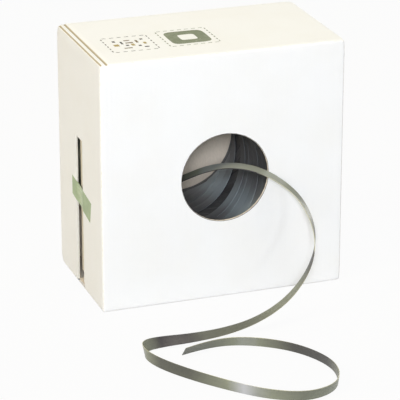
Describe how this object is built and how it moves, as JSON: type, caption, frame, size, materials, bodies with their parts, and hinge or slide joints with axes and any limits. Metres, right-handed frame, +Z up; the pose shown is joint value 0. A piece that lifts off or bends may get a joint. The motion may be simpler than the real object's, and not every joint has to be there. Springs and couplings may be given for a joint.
{
  "type": "plastic strapping roll in a dispenser carton",
  "caption": "Coreless coil of flat plastic strap in an upright board carton with a round pull-out hole, its free end drawn out and looped on the floor.",
  "frame": {"origin": "middle of the carton's underside", "axes": "+Z up, +X along the broad front panel away from the slotted end, -Y out through the pull-out hole; the coil's bore runs along Y"},
  "size_m": [0.3342, 0.5287, 0.338],
  "materials": {
    "carton_board": "corrugated board with a white outer liner and a brown inner liner",
    "strap": "embossed grey-green polypropylene strap with a dull sheen",
    "tape": "light green adhesive tape, satin"
  },
  "bodies": {
    "root": {"carton": "carton_board", "strap_coil": "strap", "strap_tail": "strap", "closure_tape": "tape"}
  },
  "joints": []
}
